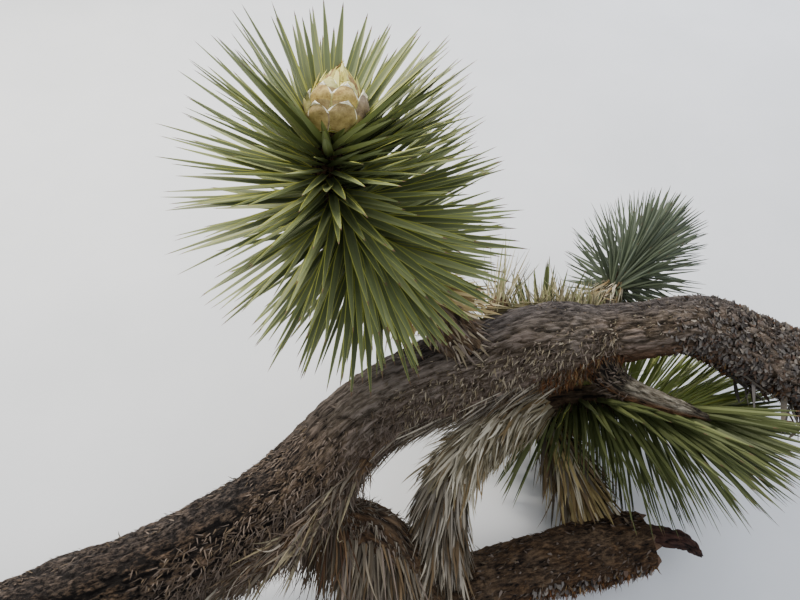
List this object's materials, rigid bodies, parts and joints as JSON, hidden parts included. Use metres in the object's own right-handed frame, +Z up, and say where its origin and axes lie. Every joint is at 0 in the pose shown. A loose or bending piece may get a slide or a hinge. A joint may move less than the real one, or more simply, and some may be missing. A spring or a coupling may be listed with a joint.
{
  "type": "joshua tree limb",
  "caption": "Cut limb of a joshua tree, lying on the ground, with dagger-leaved heads, a bloom bud, skirts of dead leaves and a broken lower limb.",
  "frame": {"origin": "middle of the box on the ground that the limb lies on", "axes": "+Z up, +X along the limb from its butt to its far cut"},
  "size_m": [1.8654, 1.1224, 1.1084],
  "materials": {
    "bark": "rough furrowed bark",
    "weathered_wood": "weathered grey wood",
    "dead_leaves": "dry fibrous leaves",
    "leaves": "waxy green leaves",
    "bloom": "papery cream bracts"
  },
  "bodies": {
    "root": {"main_limb": "bark", "far_limb": "bark", "lower_limb": "bark", "broken_stub": "bark", "dead_branchlet": "weathered_wood", "bloom_bough": "dead_leaves", "far_bough": "bark", "fork": "dead_leaves", "fork_hump": "dead_leaves", "riser": "dead_leaves", "arm": "dead_leaves", "rear_bough": "dead_leaves", "straw_tuft": "dead_leaves", "beard": "dead_leaves", "bloom_bud": "bloom", "head_bloom": "leaves", "head_arm": "leaves", "head_rear": "leaves", "head_far": "leaves"}
  },
  "joints": []
}
